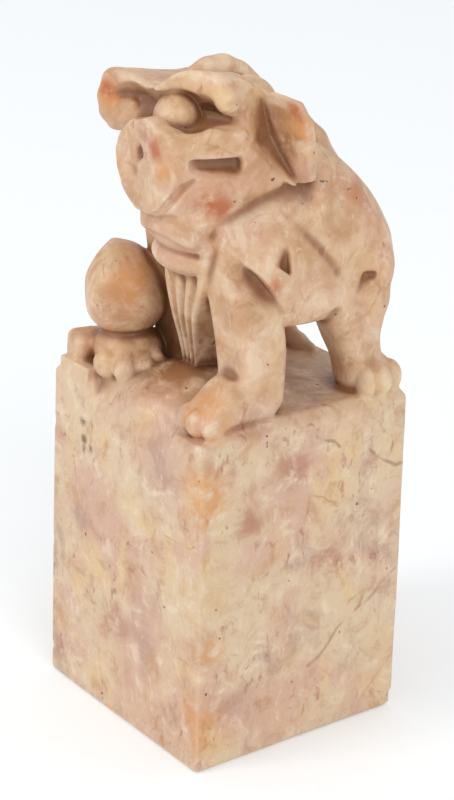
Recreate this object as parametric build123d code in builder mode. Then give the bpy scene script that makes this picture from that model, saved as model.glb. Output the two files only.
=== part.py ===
from build123d import *
import math
import os

# Carved soapstone seal with a guardian lion standing on a square block.
# Millimetres. The origin is the centre of the printing face and +Z is up.
# The lion looks along -Y, and its left side is +X.

# Stone block
base_width = 30.0
base_depth = 29.0
top_width = 28.4
top_depth = 28.8
block_top = 40.0
upright_radius = 0.9
rim_radius = 0.8

# Printing face, a flat border round square spirals cut into the stone
face_layer = 1.4
relief_depth = 0.8
relief_margin = 1.0
border_width = 1.4
fret_gap = 1.2
fret_width = 1.1
fret_turns = 5

# Ledge that the paws stand on
plinth_height = 0.8
plinth_inset = 0.5
plinth_radius = 2.4
plinth_rim = 0.35

# Lion as a whole, no wider or deeper than the block it is cut from
lion_width = 28.4
lion_depth = 28.8
lion_height = 38.2
relief_step = 0.95

# Head
eye_radius = 2.6
nostril_radius = 0.55
nostril_depth = 1.3
nose_plate = 1.2
mouth_length = 6.4
mouth_height = 2.2
mouth_depth = 2.4

# Paws and chest
toe_radius = 0.95
toe_length = 3.2
toe_height = 3.0
toe_taper = 10.0
flute_count = 4
flute_depth = 0.9

half_width = lion_width / 2
half_depth = lion_depth / 2
lion_foot = block_top + plinth_height


# A point of the lion: across and along run from -1 to 1 over the block, rise from 0 to 1.
def place(across, along, rise):
    return Vector(across * half_width, along * half_depth, lion_foot + rise * lion_height)


# Loft of upright stations, each (rise, across, along, width, depth) in shares of the lion
def standing_mass(stations_shares, round_share, grow=0):
    sections = []
    for rise, across, along, width, depth in stations_shares:
        wide = width * half_width + 2 * grow
        deep = depth * half_depth + 2 * grow
        with BuildSketch(Plane(origin=place(across, along, rise))) as section:
            RectangleRounded(wide, deep, round_share * min(wide, deep))
        sections.append(section.sketch)
    loft(sections)


# Loft of ovals along a line, each (across, along, rise, width, height) in shares of the lion
def lying_mass(stations_shares):
    heading = place(*stations_shares[-1][:3]) - place(*stations_shares[0][:3])
    side = Vector(-heading.Y, heading.X, 0)
    sections = []
    for across, along, rise, width, height in stations_shares:
        plane = Plane(origin=place(across, along, rise), x_dir=side, z_dir=heading)
        with BuildSketch(plane) as section:
            Ellipse(width * half_width / 2, height * lion_height / 2)
        sections.append(section.sketch)
    loft(sections)


# Loft of sections facing forward, each (along, across, rise, width, height) in shares of the lion
def facing_mass(stations_shares, round_share):
    sections = []
    for along, across, rise, width, height in stations_shares:
        wide = width * half_width
        high = height * lion_height
        plane = Plane(origin=place(across, along, rise), x_dir=(1, 0, 0), z_dir=(0, -1, 0))
        with BuildSketch(plane) as section:
            RectangleRounded(wide, high, round_share * min(wide, high))
        sections.append(section.sketch)
    loft(sections)


# V groove cut along a line between two places, (across, along, rise) in shares of the lion
def cut_groove(start_shares, end_shares, width):
    start = place(*start_shares)
    heading = place(*end_shares) - start
    with BuildSketch(Plane(origin=start, z_dir=heading)) as notch:
        RegularPolygon(width / math.sqrt(2), 4)
    extrude(notch.sketch, amount=heading.length, mode=Mode.SUBTRACT)


# One side's flat outline, each point (along, rise), cut through the flank from inner to outer
def flank_outline(points_shares, inner, outer):
    corners = [place(inner, along, rise) for along, rise in points_shares]
    plane = Plane(origin=(inner * half_width, 0, 0), x_dir=(0, 1, 0), z_dir=(1, 0, 0))
    with BuildSketch(plane) as section:
        with BuildLine():
            Polyline([(corner.Y, corner.Z) for corner in corners], close=True)
        make_face()
    extrude(section.sketch, amount=(outer - inner) * half_width)


# Toes side by side, fanned about the heading, with their backs at the given point
def toe_row(count, heading_angle, across, along, fan_angle):
    foot = place(across, along, 0)
    pitch = 2 * toe_radius - toe_radius / 4
    for index in range(count):
        step = index - (count - 1) / 2
        angle = heading_angle + step * fan_angle
        aside = Vector(0, step * pitch).rotate(Axis.Z, heading_angle)
        ahead = Vector(toe_length / 2, 0).rotate(Axis.Z, angle)
        with BuildSketch(Plane(origin=foot + aside + ahead)) as print_of_toe:
            SlotCenterToCenter(toe_length, 2 * toe_radius, rotation=angle)
        extrude(print_of_toe.sketch, amount=toe_height, taper=toe_taper)


def clear_of(*neighbours):
    for neighbour in neighbours:
        add(neighbour.part, mode=Mode.SUBTRACT)


# Drops the scraps that neighbours cut loose
def keep_largest(mass):
    add(mass.solids().sort_by(SortBy.VOLUME)[-1], mode=Mode.REPLACE)


# Block: two rounded squares, drawn in slightly towards the top
with BuildPart() as seal_block:
    with BuildSketch(Plane.XY.offset(face_layer)):
        RectangleRounded(base_width, base_depth, upright_radius)
    with BuildSketch(Plane.XY.offset(block_top)):
        RectangleRounded(top_width, top_depth, upright_radius)
    loft()
    fillet(seal_block.faces().sort_by(Axis.Z)[-1].edges(), rim_radius)

# Printing face: the border and four square spirals are left standing
spiral_pitch = fret_gap + fret_width
inner_width = base_width - 2 * relief_margin - 2 * border_width
inner_depth = base_depth - 2 * relief_margin - 2 * border_width
cell_width = inner_width / 2 - fret_gap * 3 / 2
cell_depth = inner_depth / 2 - fret_gap * 3 / 2


# Arms of one square spiral as (start, end), winding inward from the cell's corner
def spiral_arms():
    left, right = -cell_width / 2 + fret_width / 2, cell_width / 2 - fret_width / 2
    low, high = -cell_depth / 2 + fret_width / 2, cell_depth / 2 - fret_width / 2
    corner = (left, low)
    arms = []
    for turn in range(fret_turns):
        heading = turn % 4
        if heading == 0:
            end = (right, corner[1])
            low += spiral_pitch
        elif heading == 1:
            end = (corner[0], high)
            right -= spiral_pitch
        elif heading == 2:
            end = (left, corner[1])
            high -= spiral_pitch
        else:
            end = (corner[0], low)
            left += spiral_pitch
        arms.append((corner, end))
        corner = end
    return arms


with BuildPart() as print_face:
    with BuildSketch():
        RectangleRounded(base_width, base_depth, upright_radius)
    extrude(amount=face_layer)
    with BuildSketch() as sunk:
        Rectangle(base_width - 2 * relief_margin - 2 * border_width, base_depth - 2 * relief_margin - 2 * border_width)
        for across_side in (-1, 1):
            for along_side in (-1, 1):
                cell_across = across_side * (cell_width + fret_gap) / 2
                cell_along = along_side * (cell_depth + fret_gap) / 2
                for start, end in spiral_arms():
                    middle = ((start[0] + end[0]) / 2, (start[1] + end[1]) / 2)
                    arm = (abs(end[0] - start[0]) + fret_width, abs(end[1] - start[1]) + fret_width)
                    spot = (cell_across + across_side * middle[0], cell_along + along_side * middle[1])
                    with Locations(spot):
                        Rectangle(*arm, mode=Mode.SUBTRACT)
    extrude(sunk.sketch, amount=relief_depth, mode=Mode.SUBTRACT)

# Ledge with the mound that the carver left between the forelegs
mound_shares = [
    (0.00, 0.02, -0.36, 0.80, 0.92),
    (0.04, 0.03, -0.36, 0.62, 0.62),
    (0.07, 0.04, -0.36, 0.46, 0.36),
]
with BuildPart() as plinth:
    with BuildSketch(Plane.XY.offset(block_top)):
        RectangleRounded(
            top_width - 2 * (plinth_inset + rim_radius), top_depth - 2 * (plinth_inset + rim_radius), plinth_radius
        )
    extrude(amount=plinth_height)
    fillet(plinth.faces().sort_by(Axis.Z)[-1].edges(), plinth_rim)
    standing_mass(mound_shares, 0.30)

# Head, seen from the front slightly turned and tilted
nose_outline_shares = [
    (-0.20, 0.735), (-0.16, 0.78), (0.00, 0.83), (0.20, 0.855), (0.30, 0.84), (0.46, 0.775),
    (0.57, 0.715), (0.46, 0.64), (0.31, 0.585), (0.07, 0.585), (-0.11, 0.635), (-0.18, 0.69),
]
nostril_places_shares = [(0.10, 0.745), (0.36, 0.735)]
front = Plane(origin=(0, -half_depth, 0), x_dir=(1, 0, 0), z_dir=(0, -1, 0))
with BuildPart() as nose_pad:
    with BuildSketch(front):
        with BuildLine():
            nose_points = [place(across, 0, rise) for across, rise in nose_outline_shares]
            Spline([(point.X, point.Z) for point in nose_points], periodic=True)
        make_face()
    extrude(amount=-nose_plate)
    for across, rise in nostril_places_shares:
        spot = place(across, 0, rise)
        with BuildSketch(front):
            with Locations((spot.X, spot.Z)):
                Circle(nostril_radius)
        extrude(amount=-nostril_depth, mode=Mode.SUBTRACT)

left_eye_shares = (0.35, -0.81, 0.885)
right_eye_shares = (-0.20, -0.77, 0.845)
with BuildPart() as left_eye:
    with Locations(place(*left_eye_shares)):
        Sphere(eye_radius)
    clear_of(nose_pad)
with BuildPart() as right_eye:
    with Locations(place(*right_eye_shares)):
        Sphere(eye_radius)
    clear_of(nose_pad)

# Muzzle, widening from the nose back into the cheeks, with a slot for each corner of the mouth
muzzle_shares = [
    (-0.915, 0.185, 0.720, 0.76, 0.275),
    (-0.80, 0.165, 0.725, 0.93, 0.275),
    (-0.56, 0.140, 0.745, 1.12, 0.240),
    (-0.28, 0.120, 0.765, 1.28, 0.200),
]
mouth_places_shares = [(0.67, -0.65, 0.735), (-0.40, -0.68, 0.715)]
with BuildPart() as muzzle:
    facing_mass(muzzle_shares, 0.33)
    clear_of(nose_pad, left_eye, right_eye)
    for across, along, rise in mouth_places_shares:
        with Locations(place(across, along, rise)):
            Box(2 * mouth_depth, mouth_length, mouth_height, mode=Mode.SUBTRACT)

left_brow_shares = [
    (0.08, -0.90, 0.925, 0.16, 0.04),
    (0.22, -0.84, 0.940, 0.30, 0.085),
    (0.45, -0.71, 0.950, 0.34, 0.095),
    (0.63, -0.60, 0.930, 0.34, 0.100),
    (0.74, -0.50, 0.905, 0.20, 0.060),
]
right_brow_shares = [
    (0.16, -0.78, 0.925, 0.18, 0.05),
    (0.00, -0.76, 0.925, 0.38, 0.110),
    (-0.28, -0.74, 0.890, 0.42, 0.150),
    (-0.50, -0.75, 0.845, 0.44, 0.165),
    (-0.65, -0.75, 0.820, 0.26, 0.100),
]
with BuildPart() as left_brow:
    lying_mass(left_brow_shares)
    clear_of(left_eye, muzzle)
with BuildPart() as right_brow:
    lying_mass(right_brow_shares)
    clear_of(right_eye, left_eye, left_brow, muzzle)

# Ears, flaps that stand off the cheeks
left_ear_shares = [
    (-0.36, 0.945), (-0.12, 0.935), (0.08, 0.82), (0.13, 0.71), (0.06, 0.675), (-0.12, 0.670), (-0.24, 0.76),
    (-0.44, 0.90),
]
right_ear_shares = [
    (-0.62, 0.87), (-0.38, 0.89), (-0.16, 0.78), (-0.12, 0.67), (-0.20, 0.635), (-0.36, 0.63), (-0.48, 0.72),
    (-0.66, 0.82),
]
with BuildPart() as left_ear:
    flank_outline(left_ear_shares, 0.62, 0.87)
    clear_of(left_brow, muzzle)
with BuildPart() as right_ear:
    flank_outline(right_ear_shares, -0.87, -0.62)
    clear_of(right_brow, muzzle)

# Tuft on the crown
crest_shares = [
    (0.03, -0.50, 0.935, 0.16, 0.04),
    (0.03, -0.40, 0.945, 0.40, 0.070),
    (0.04, -0.20, 0.945, 0.50, 0.085),
    (0.06, 0.00, 0.915, 0.42, 0.080),
    (0.07, 0.10, 0.890, 0.20, 0.04),
]
with BuildPart() as crest:
    lying_mass(crest_shares)
    clear_of(left_brow, right_brow, left_ear)

# Locks of the mane down the nape
lock_count = 5
lock_spread_share = 0.52
with BuildPart() as mane_locks:
    for index in range(lock_count):
        aside = lock_spread_share * (2 * index / (lock_count - 1) - 1)
        lying_mass([
            (aside * 0.90, 0.14, 0.790, 0.16, 0.040),
            (aside * 0.98, 0.30, 0.770, 0.24, 0.055),
            (aside * 1.06, 0.50, 0.715, 0.26, 0.050),
            (aside * 1.10, 0.64, 0.655, 0.20, 0.040),
            (aside * 1.11, 0.68, 0.635, 0.06, 0.015),
        ])

jaw_shares = [
    (-0.90, 0.20, 0.565, 0.52, 0.090),
    (-0.72, 0.20, 0.570, 0.82, 0.130),
    (-0.36, 0.17, 0.610, 1.10, 0.140),
    (0.06, 0.15, 0.660, 1.20, 0.110),
]
with BuildPart() as lower_jaw:
    facing_mass(jaw_shares, 0.35)
    clear_of(muzzle, nose_pad, left_ear, right_ear)
    keep_largest(lower_jaw)

skull_shares = [
    (0.640, 0.06, -0.20, 1.10, 0.80),
    (0.700, 0.06, -0.25, 1.34, 0.98),
    (0.780, 0.05, -0.27, 1.42, 1.02),
    (0.870, 0.05, -0.31, 1.38, 0.92),
    (0.930, 0.05, -0.38, 1.14, 0.72),
]
with BuildPart() as skull:
    standing_mass(skull_shares, 0.30)
    clear_of(nose_pad, left_eye, right_eye, left_brow, right_brow, muzzle, lower_jaw)
    clear_of(left_ear, right_ear, crest, mane_locks)
    keep_largest(skull)

beard_shares = [
    (0.435, 0.24, -0.60, 0.36, 0.34),
    (0.465, 0.23, -0.59, 0.62, 0.56),
    (0.500, 0.22, -0.58, 0.68, 0.60),
    (0.530, 0.20, -0.58, 0.60, 0.54),
]
with BuildPart() as beard:
    standing_mass(beard_shares, 0.40)
    clear_of(lower_jaw)

# Body: a domed trunk between raised shoulders and haunches, with the right front corner cut away
trunk_shares = [
    (0.235, 0.00, 0.35, 1.78, 1.14),
    (0.335, 0.00, 0.26, 1.84, 1.36),
    (0.440, 0.00, 0.17, 1.85, 1.54),
    (0.555, 0.00, 0.11, 1.82, 1.50),
    (0.660, 0.00, 0.04, 1.68, 1.26),
    (0.750, 0.00, -0.05, 1.40, 0.92),
    (0.790, 0.00, -0.10, 1.16, 0.70),
]
left_shoulder_shares = [
    (-0.77, 0.55), (-0.58, 0.49), (-0.42, 0.44), (-0.28, 0.37), (-0.18, 0.33), (-0.14, 0.24), (0.07, 0.245),
    (0.28, 0.280), (0.45, 0.30), (0.50, 0.35), (0.28, 0.41), (0.14, 0.48), (0.00, 0.53), (-0.12, 0.59),
    (-0.24, 0.68), (-0.62, 0.66),
]
left_haunch_shares = [
    (0.50, 0.35), (0.60, 0.38), (0.98, 0.38), (0.98, 0.58), (0.62, 0.66), (0.20, 0.72), (-0.10, 0.72),
    (-0.24, 0.68), (-0.12, 0.59), (0.00, 0.53), (0.14, 0.48), (0.28, 0.41),
]
corner_cut_angle = 52.0
corner_cut_share = 0.58
corner_cut = Plane(
    origin=Vector(-corner_cut_share * half_width, 0).rotate(Axis.Z, corner_cut_angle),
    z_dir=Vector(-1, 0).rotate(Axis.Z, corner_cut_angle),
)
with BuildPart() as lion_skin:
    standing_mass(trunk_shares, 0.30, grow=relief_step)

with BuildPart() as left_shoulder:
    flank_outline(left_shoulder_shares, 0.60, 1.00)
    add(lion_skin.part, mode=Mode.INTERSECT)
    clear_of(muzzle, skull, left_ear, lower_jaw)
with BuildPart() as left_haunch:
    flank_outline(left_haunch_shares, 0.60, 1.00)
    add(lion_skin.part, mode=Mode.INTERSECT)
    clear_of(skull, left_ear, left_shoulder, lower_jaw, mane_locks)
with BuildPart() as right_shoulder:
    mirror(left_shoulder.part, about=Plane.YZ)
    split(bisect_by=corner_cut, keep=Keep.BOTTOM)
    clear_of(skull, right_ear)
with BuildPart() as right_haunch:
    mirror(left_haunch.part, about=Plane.YZ)
    clear_of(skull, right_ear, lower_jaw)

# Tail, laid flat up the rump, and its tip curled on the ledge
tail_shares = [
    (0.00, 0.90, 0.29, 0.12, 0.03),
    (0.02, 0.93, 0.36, 0.30, 0.045),
    (-0.03, 0.93, 0.46, 0.34, 0.050),
    (0.03, 0.87, 0.56, 0.38, 0.050),
    (0.00, 0.82, 0.600, 0.20, 0.035),
    (0.00, 0.78, 0.625, 0.06, 0.015),
]
with BuildPart() as tail:
    lying_mass(tail_shares)

with BuildPart() as trunk:
    standing_mass(trunk_shares, 0.30)
    split(bisect_by=corner_cut, keep=Keep.BOTTOM)
    clear_of(skull, muzzle, lower_jaw, beard, left_ear, right_ear, crest, mane_locks, tail)
    clear_of(left_shoulder, left_haunch, right_shoulder, right_haunch)
    keep_largest(trunk)

# Legs and paws
left_forepaw_shares = [
    (0.00, 0.82, -0.56, 0.36, 0.62),
    (0.07, 0.81, -0.52, 0.36, 0.58),
    (0.14, 0.78, -0.42, 0.34, 0.46),
]
right_forepaw_shares = [
    (0.00, -0.54, -0.54, 0.46, 0.42),
    (0.07, -0.55, -0.54, 0.46, 0.42),
    (0.14, -0.57, -0.54, 0.42, 0.40),
]
left_hind_paw_shares = [
    (0.00, 0.76, 0.62, 0.40, 0.60),
    (0.07, 0.76, 0.61, 0.38, 0.58),
    (0.13, 0.76, 0.56, 0.34, 0.46),
]
with BuildPart() as left_forepaw:
    standing_mass(left_forepaw_shares, 0.30)
    toe_row(3, -90, 0.82, -0.70, 0)
with BuildPart() as right_forepaw:
    standing_mass(right_forepaw_shares, 0.40)
    toe_row(4, -72, -0.50, -0.63, 11)
    clear_of(plinth)
with BuildPart() as left_hind_paw:
    standing_mass(left_hind_paw_shares, 0.40)
    toe_row(3, 48, 0.64, 0.66, 18)
with BuildPart() as right_hind_paw:
    mirror(left_hind_paw.part, about=Plane.YZ)

tail_curl_shares = [
    (0.04, 0.83, 0.020, 0.10, 0.03),
    (-0.04, 0.83, 0.025, 0.22, 0.065),
    (-0.30, 0.83, 0.025, 0.26, 0.070),
    (-0.60, 0.83, 0.025, 0.26, 0.070),
]
with BuildPart() as tail_curl:
    lying_mass(tail_curl_shares)
    clear_of(plinth, right_hind_paw)

left_foreleg_shares = [
    (0.090, 0.73, -0.34, 0.46, 0.48),
    (0.190, 0.73, -0.34, 0.47, 0.48),
    (0.310, 0.72, -0.37, 0.49, 0.54),
    (0.450, 0.68, -0.45, 0.52, 0.62),
    (0.540, 0.61, -0.48, 0.50, 0.52),
]
with BuildPart() as left_foreleg:
    standing_mass(left_foreleg_shares, 0.28)
    clear_of(left_forepaw, left_shoulder, trunk, beard, lower_jaw, muzzle, skull)
    keep_largest(left_foreleg)

right_foreleg_shares = [
    (0.110, -0.58, -0.56, 0.42, 0.42),
    (0.180, -0.60, -0.57, 0.62, 0.58),
    (0.270, -0.61, -0.56, 0.68, 0.64),
    (0.340, -0.62, -0.55, 0.58, 0.56),
    (0.390, -0.65, -0.54, 0.32, 0.34),
]
right_upper_arm_shares = [
    (-0.50, -0.60, 0.240, 0.40, 0.150),
    (-0.30, -0.58, 0.260, 0.44, 0.160),
    (0.10, -0.56, 0.290, 0.50, 0.160),
]
with BuildPart() as right_foreleg:
    standing_mass(right_foreleg_shares, 0.42)
    facing_mass(right_upper_arm_shares, 0.35)
    clear_of(right_forepaw, trunk, right_shoulder)

# Thin fringe of hair down the outside of the right foreleg
fringe_shares = [
    (0.150, -0.78, -0.60, 0.26, 0.34),
    (0.220, -0.80, -0.62, 0.34, 0.46),
    (0.300, -0.79, -0.60, 0.34, 0.48),
    (0.370, -0.74, -0.56, 0.26, 0.36),
]
with BuildPart() as right_foreleg_fringe:
    standing_mass(fringe_shares, 0.42)
    clear_of(right_foreleg, right_forepaw)

# Low lump at the ledge's right front corner
scroll_shares = [
    (0.000, -0.86, -0.80, 0.22, 0.34),
    (0.030, -0.87, -0.80, 0.24, 0.36),
    (0.075, -0.88, -0.80, 0.20, 0.28),
    (0.100, -0.88, -0.80, 0.10, 0.14),
]
with BuildPart() as corner_scroll:
    standing_mass(scroll_shares, 0.40)
    clear_of(plinth, right_forepaw, right_foreleg_fringe)

left_hind_leg_shares = [
    (0.080, 0.74, 0.56, 0.38, 0.38),
    (0.150, 0.75, 0.55, 0.38, 0.36),
    (0.230, 0.73, 0.57, 0.46, 0.48),
    (0.300, 0.70, 0.60, 0.52, 0.60),
]
with BuildPart() as left_hind_leg:
    standing_mass(left_hind_leg_shares, 0.28)
    clear_of(left_hind_paw, trunk, left_haunch, left_shoulder)
with BuildPart() as right_hind_leg:
    mirror(left_hind_leg.part, about=Plane.YZ)

apron_shares = [
    (0.050, 0.10, -0.34, 0.30, 0.30),
    (0.200, 0.12, -0.38, 0.42, 0.36),
    (0.320, 0.16, -0.42, 0.54, 0.42),
    (0.440, 0.20, -0.44, 0.62, 0.50),
]
flute_tops_shares = (-0.02, 0.42)
flute_feet_shares = (-0.01, 0.21)
flute_front_shares = (-0.69, -0.49)
with BuildPart() as chest_apron:
    standing_mass(apron_shares, 0.20)
    clear_of(plinth, left_foreleg, right_foreleg, beard, lower_jaw, trunk, left_shoulder, left_forepaw)
    for index in range(1, flute_count):
        part_way = index / flute_count
        top_across = flute_tops_shares[0] + part_way * (flute_tops_shares[1] - flute_tops_shares[0])
        foot_across = flute_feet_shares[0] + part_way * (flute_feet_shares[1] - flute_feet_shares[0])
        cut_groove((top_across, flute_front_shares[0], 0.46), (foot_across, flute_front_shares[1], 0.04), flute_depth)

os.makedirs("parts", exist_ok=True)
pieces = {
    "print_face": print_face,
    "seal_block": seal_block,
    "plinth": plinth,
    "nose_pad": nose_pad,
    "left_eye": left_eye,
    "right_eye": right_eye,
    "muzzle": muzzle,
    "left_brow": left_brow,
    "right_brow": right_brow,
    "left_ear": left_ear,
    "right_ear": right_ear,
    "crest": crest,
    "skull": skull,
    "lower_jaw": lower_jaw,
    "beard": beard,
    "left_shoulder": left_shoulder,
    "right_shoulder": right_shoulder,
    "left_haunch": left_haunch,
    "right_haunch": right_haunch,
    "trunk": trunk,
    "left_foreleg": left_foreleg,
    "right_foreleg": right_foreleg,
    "left_hind_leg": left_hind_leg,
    "right_hind_leg": right_hind_leg,
    "left_forepaw": left_forepaw,
    "right_forepaw": right_forepaw,
    "left_hind_paw": left_hind_paw,
    "right_hind_paw": right_hind_paw,
    "chest_apron": chest_apron,
    "right_foreleg_fringe": right_foreleg_fringe,
    "corner_scroll": corner_scroll,
    "mane_locks": mane_locks,
    "tail": tail,
    "tail_curl": tail_curl,
}
for name, piece in pieces.items():
    piece.part.label = name
    export_step(piece.part, f"parts/{name}.step")
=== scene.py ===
import math

import bpy
import numpy as np
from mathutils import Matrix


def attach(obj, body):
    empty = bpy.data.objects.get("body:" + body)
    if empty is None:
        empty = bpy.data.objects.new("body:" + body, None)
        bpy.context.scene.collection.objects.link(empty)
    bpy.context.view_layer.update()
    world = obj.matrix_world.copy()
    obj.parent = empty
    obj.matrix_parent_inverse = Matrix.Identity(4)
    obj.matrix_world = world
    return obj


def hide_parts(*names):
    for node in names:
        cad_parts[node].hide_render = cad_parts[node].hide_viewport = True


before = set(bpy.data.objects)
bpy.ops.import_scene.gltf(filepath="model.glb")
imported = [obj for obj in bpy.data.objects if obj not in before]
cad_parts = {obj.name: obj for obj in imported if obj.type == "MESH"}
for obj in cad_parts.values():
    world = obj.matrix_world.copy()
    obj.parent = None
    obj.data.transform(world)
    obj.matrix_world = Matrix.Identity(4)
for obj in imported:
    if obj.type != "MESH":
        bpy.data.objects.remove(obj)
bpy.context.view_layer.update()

import openvdb
from mathutils import Matrix, Vector

mm = 0.001

# Sizes of the sculpting grids and of the carver's hand, all in millimetres
sculpting = {
    "lionVoxel": 0.19,
    "blockVoxel": 0.28,
    "lionBox": ((-16.8, -16.8, 36.6), (16.8, 16.8, 81.2)),
    "blockBox": ((-17.2, -16.8, -2.2), (17.2, 16.8, 43.4)),
    "searchBox": ((-16, -16, -1), (16, 16, 81)),
    "waveBox": ((-17.0, -17.0, -3.0), (17.0, 17.0, 83.0)),
    # how far round its skin a mass, a cut and a finished piece are worked out, and what counts as far
    "massReach": 1.4, "cutReach": 0.8, "pieceReach": 1.0, "far": 9.0,
    "lapDepth": 0.5,      # how far a piece runs on under its neighbour
    "lapSlope": 0.15,     # and how fast it dips there
    "handWaves": [(5.0, 0.10, 11), (2.2, 0.05, 12), (0.9, 0.018, 13)],  # size, height, seed
    "skinInset": 0.06,    # keeps the waves inside the stone's own box
    "wearAndShade": {"fineRelief": (0.35, 0.1), "broadRelief": (1.4, 0.7)},  # size of the brush, height that counts
    "reliefBand": 4.0,      # the brush takes no notice of stone deeper than this
}


def turned(heading=0.0, pitch=0.0, roll=0.0):
    return np.array(Matrix.Rotation(math.radians(heading), 3, "Z")
                    @ Matrix.Rotation(math.radians(pitch), 3, "X")
                    @ Matrix.Rotation(math.radians(roll), 3, "Y"))


# Shapes are signed distances in millimetres: the lesser of two joins them, the greater keeps what they share
def smoothMin(a, b, blend):
    h = np.clip(0.5 + 0.5 * (b - a) / blend, 0, 1)
    return b + (a - b) * h - blend * h * (1 - h)


def smoothMax(a, b, blend):
    return -smoothMin(-a, -b, blend)


def together(*parts, blend=0.5):
    whole = parts[0]
    for part in parts[1:]:
        whole = smoothMin(whole, part, blend)
    return whole


# The same place seen on the left side, for shapes that are mirrored
def sided(p, side):
    return p[0] * side, p[1], p[2]


def bothSides(p):
    return np.abs(p[0]), p[1], p[2]


def makeGrid(low, high, step):
    axes = [np.arange(a, b + step / 2, step, dtype=np.float32) for a, b in zip(low, high)]
    return {"low": np.array(low), "step": step, "axes": axes, "shape": tuple(len(a) for a in axes)}


# The part of a grid inside a box, and the places of its points
def window(grid, low, high):
    cut = []
    for axis, a, b in zip(grid["axes"], low, high):
        start = int(np.clip(np.searchsorted(axis, a), 0, len(axis) - 2))
        stop = int(np.clip(np.searchsorted(axis, b) + 1, start + 1, len(axis)))
        cut.append(slice(start, stop))
    x, y, z = (axis[c] for axis, c in zip(grid["axes"], cut))
    return tuple(cut), (x[:, None, None], y[None, :, None], z[None, None, :])


def local(p, centre, turn):
    x, y, z = (p[i] - np.float32(centre[i]) for i in range(3))
    if turn is None:
        return x, y, z
    t = turn.astype(np.float32)
    return tuple(t[0, i] * x + t[1, i] * y + t[2, i] * z for i in range(3))


def egg(p, centre, radii, turn=None):
    x, y, z = local(p, centre, turn)
    a = np.sqrt((x / radii[0]) ** 2 + (y / radii[1]) ** 2 + (z / radii[2]) ** 2)
    b = np.sqrt((x / radii[0] ** 2) ** 2 + (y / radii[1] ** 2) ** 2 + (z / radii[2] ** 2) ** 2)
    return a * (a - 1) / np.maximum(b, 1e-4)


def brick(p, centre, half, corner, turn=None):
    q = [np.abs(v) - (h - corner) for v, h in zip(local(p, centre, turn), half)]
    out = np.sqrt(sum(np.maximum(v, 0) ** 2 for v in q))
    return out + np.minimum(np.maximum(np.maximum(q[0], q[1]), q[2]), 0) - corner


# A straight finger of stone whose radius goes from ra to rb
def finger(p, a, b, ra, rb):
    a, b = np.array(a, np.float32), np.array(b, np.float32)
    run = b - a
    length2 = float(run @ run)
    drop = ra - rb
    slant2 = length2 - drop * drop
    px, py, pz = p[0] - a[0], p[1] - a[1], p[2] - a[2]
    y = px * run[0] + py * run[1] + pz * run[2]
    z = y - length2
    qx, qy, qz = px * length2 - run[0] * y, py * length2 - run[1] * y, pz * length2 - run[2] * y
    x2 = qx * qx + qy * qy + qz * qz
    y2, z2 = y * y * length2, z * z * length2
    edge = math.copysign(1, drop) * drop * drop * x2
    side = (np.sqrt(np.maximum(x2 * slant2 / length2, 0)) + y * drop) / length2 - ra
    past = np.sign(z) * slant2 * z2 > edge
    before = np.sign(y) * slant2 * y2 < edge
    return np.where(past, np.sqrt(x2 + z2) / length2 - rb,
                    np.where(before, np.sqrt(x2 + y2) / length2 - ra, side))


# A bent rope of stone through (x, y, z, radius) points
def rope(p, points, blend=0.4):
    fingers = (finger(p, a[:3], b[:3], a[3], b[3]) for a, b in zip(points, points[1:]))
    return together(*fingers, blend=blend)


# A smooth curve through the given values
def along(t, knots, values):
    knots, values = np.array(knots, float), np.array(values, float)
    slope = np.gradient(values, knots)
    t = np.clip(t, knots[0], knots[-1])
    i = np.clip(np.searchsorted(knots, t, side="right") - 1, 0, len(knots) - 2)
    w = knots[i + 1] - knots[i]
    s = (t - knots[i]) / w
    rise = s * s * (3 - 2 * s)
    return (values[i] + rise * (values[i + 1] - values[i]) + s * (1 - s) ** 2 * w * slope[i]
            + s * s * (s - 1) * w * slope[i + 1]).astype(np.float32)


def flatBrick(u, v, halfU, halfV, corner):
    a, b = np.abs(u) - (halfU - corner), np.abs(v) - (halfV - corner)
    return np.hypot(np.maximum(a, 0), np.maximum(b, 0)) + np.minimum(np.maximum(a, b), 0) - corner


# A flat shape given a thickness from low to high, with a rounded rim
def capped(flat, t, low, high, rim):
    a = flat + rim
    b = np.abs(t - (low + high) / 2) - (high - low) / 2 + rim
    return np.minimum(np.maximum(a, b), 0) + np.hypot(np.maximum(a, 0), np.maximum(b, 0)) - rim


# A mass that stands up through (z, x, y, width, depth) sections
def standing(p, sections, corner=0.3, rim=0.6):
    s = np.array(sections, float)
    x, y, z = p
    cx, cy, w, d = (along(z, s[:, 0], s[:, i]) for i in (1, 2, 3, 4))
    flat = flatBrick(x - cx, y - cy, w / 2, d / 2, corner * np.minimum(w, d))
    return capped(flat, z, s[0, 0], s[-1, 0], rim)


# A mass that faces the front through (y, x, z, width, height) sections
def facing(p, sections, corner=0.3, rim=0.6):
    s = np.array(sections, float)
    x, y, z = p
    cx, cz, w, h = (along(y, s[:, 0], s[:, i]) for i in (1, 2, 3, 4))
    flat = flatBrick(x - cx, z - cz, w / 2, h / 2, corner * np.minimum(w, h))
    return capped(flat, y, s[0, 0], s[-1, 0], rim)


# Signed distance in a plane to a closed outline
def outlineDistance(u, v, points):
    pts = np.array(points, np.float32)
    nearest, inside = None, None
    for a, b in zip(pts, np.roll(pts, -1, axis=0)):
        e = b - a
        wu, wv = u - a[0], v - a[1]
        t = np.clip((wu * e[0] + wv * e[1]) / float(e @ e), 0, 1)
        gap = (wu - e[0] * t) ** 2 + (wv - e[1] * t) ** 2
        turn = e[0] * wv - e[1] * wu
        crosses = ((a[1] <= v) & (b[1] > v) & (turn > 0)) | ((a[1] > v) & (b[1] <= v) & (turn < 0))
        nearest = gap if nearest is None else np.minimum(nearest, gap)
        inside = crosses if inside is None else inside ^ crosses
    return np.where(inside, -np.sqrt(nearest), np.sqrt(nearest))


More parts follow.
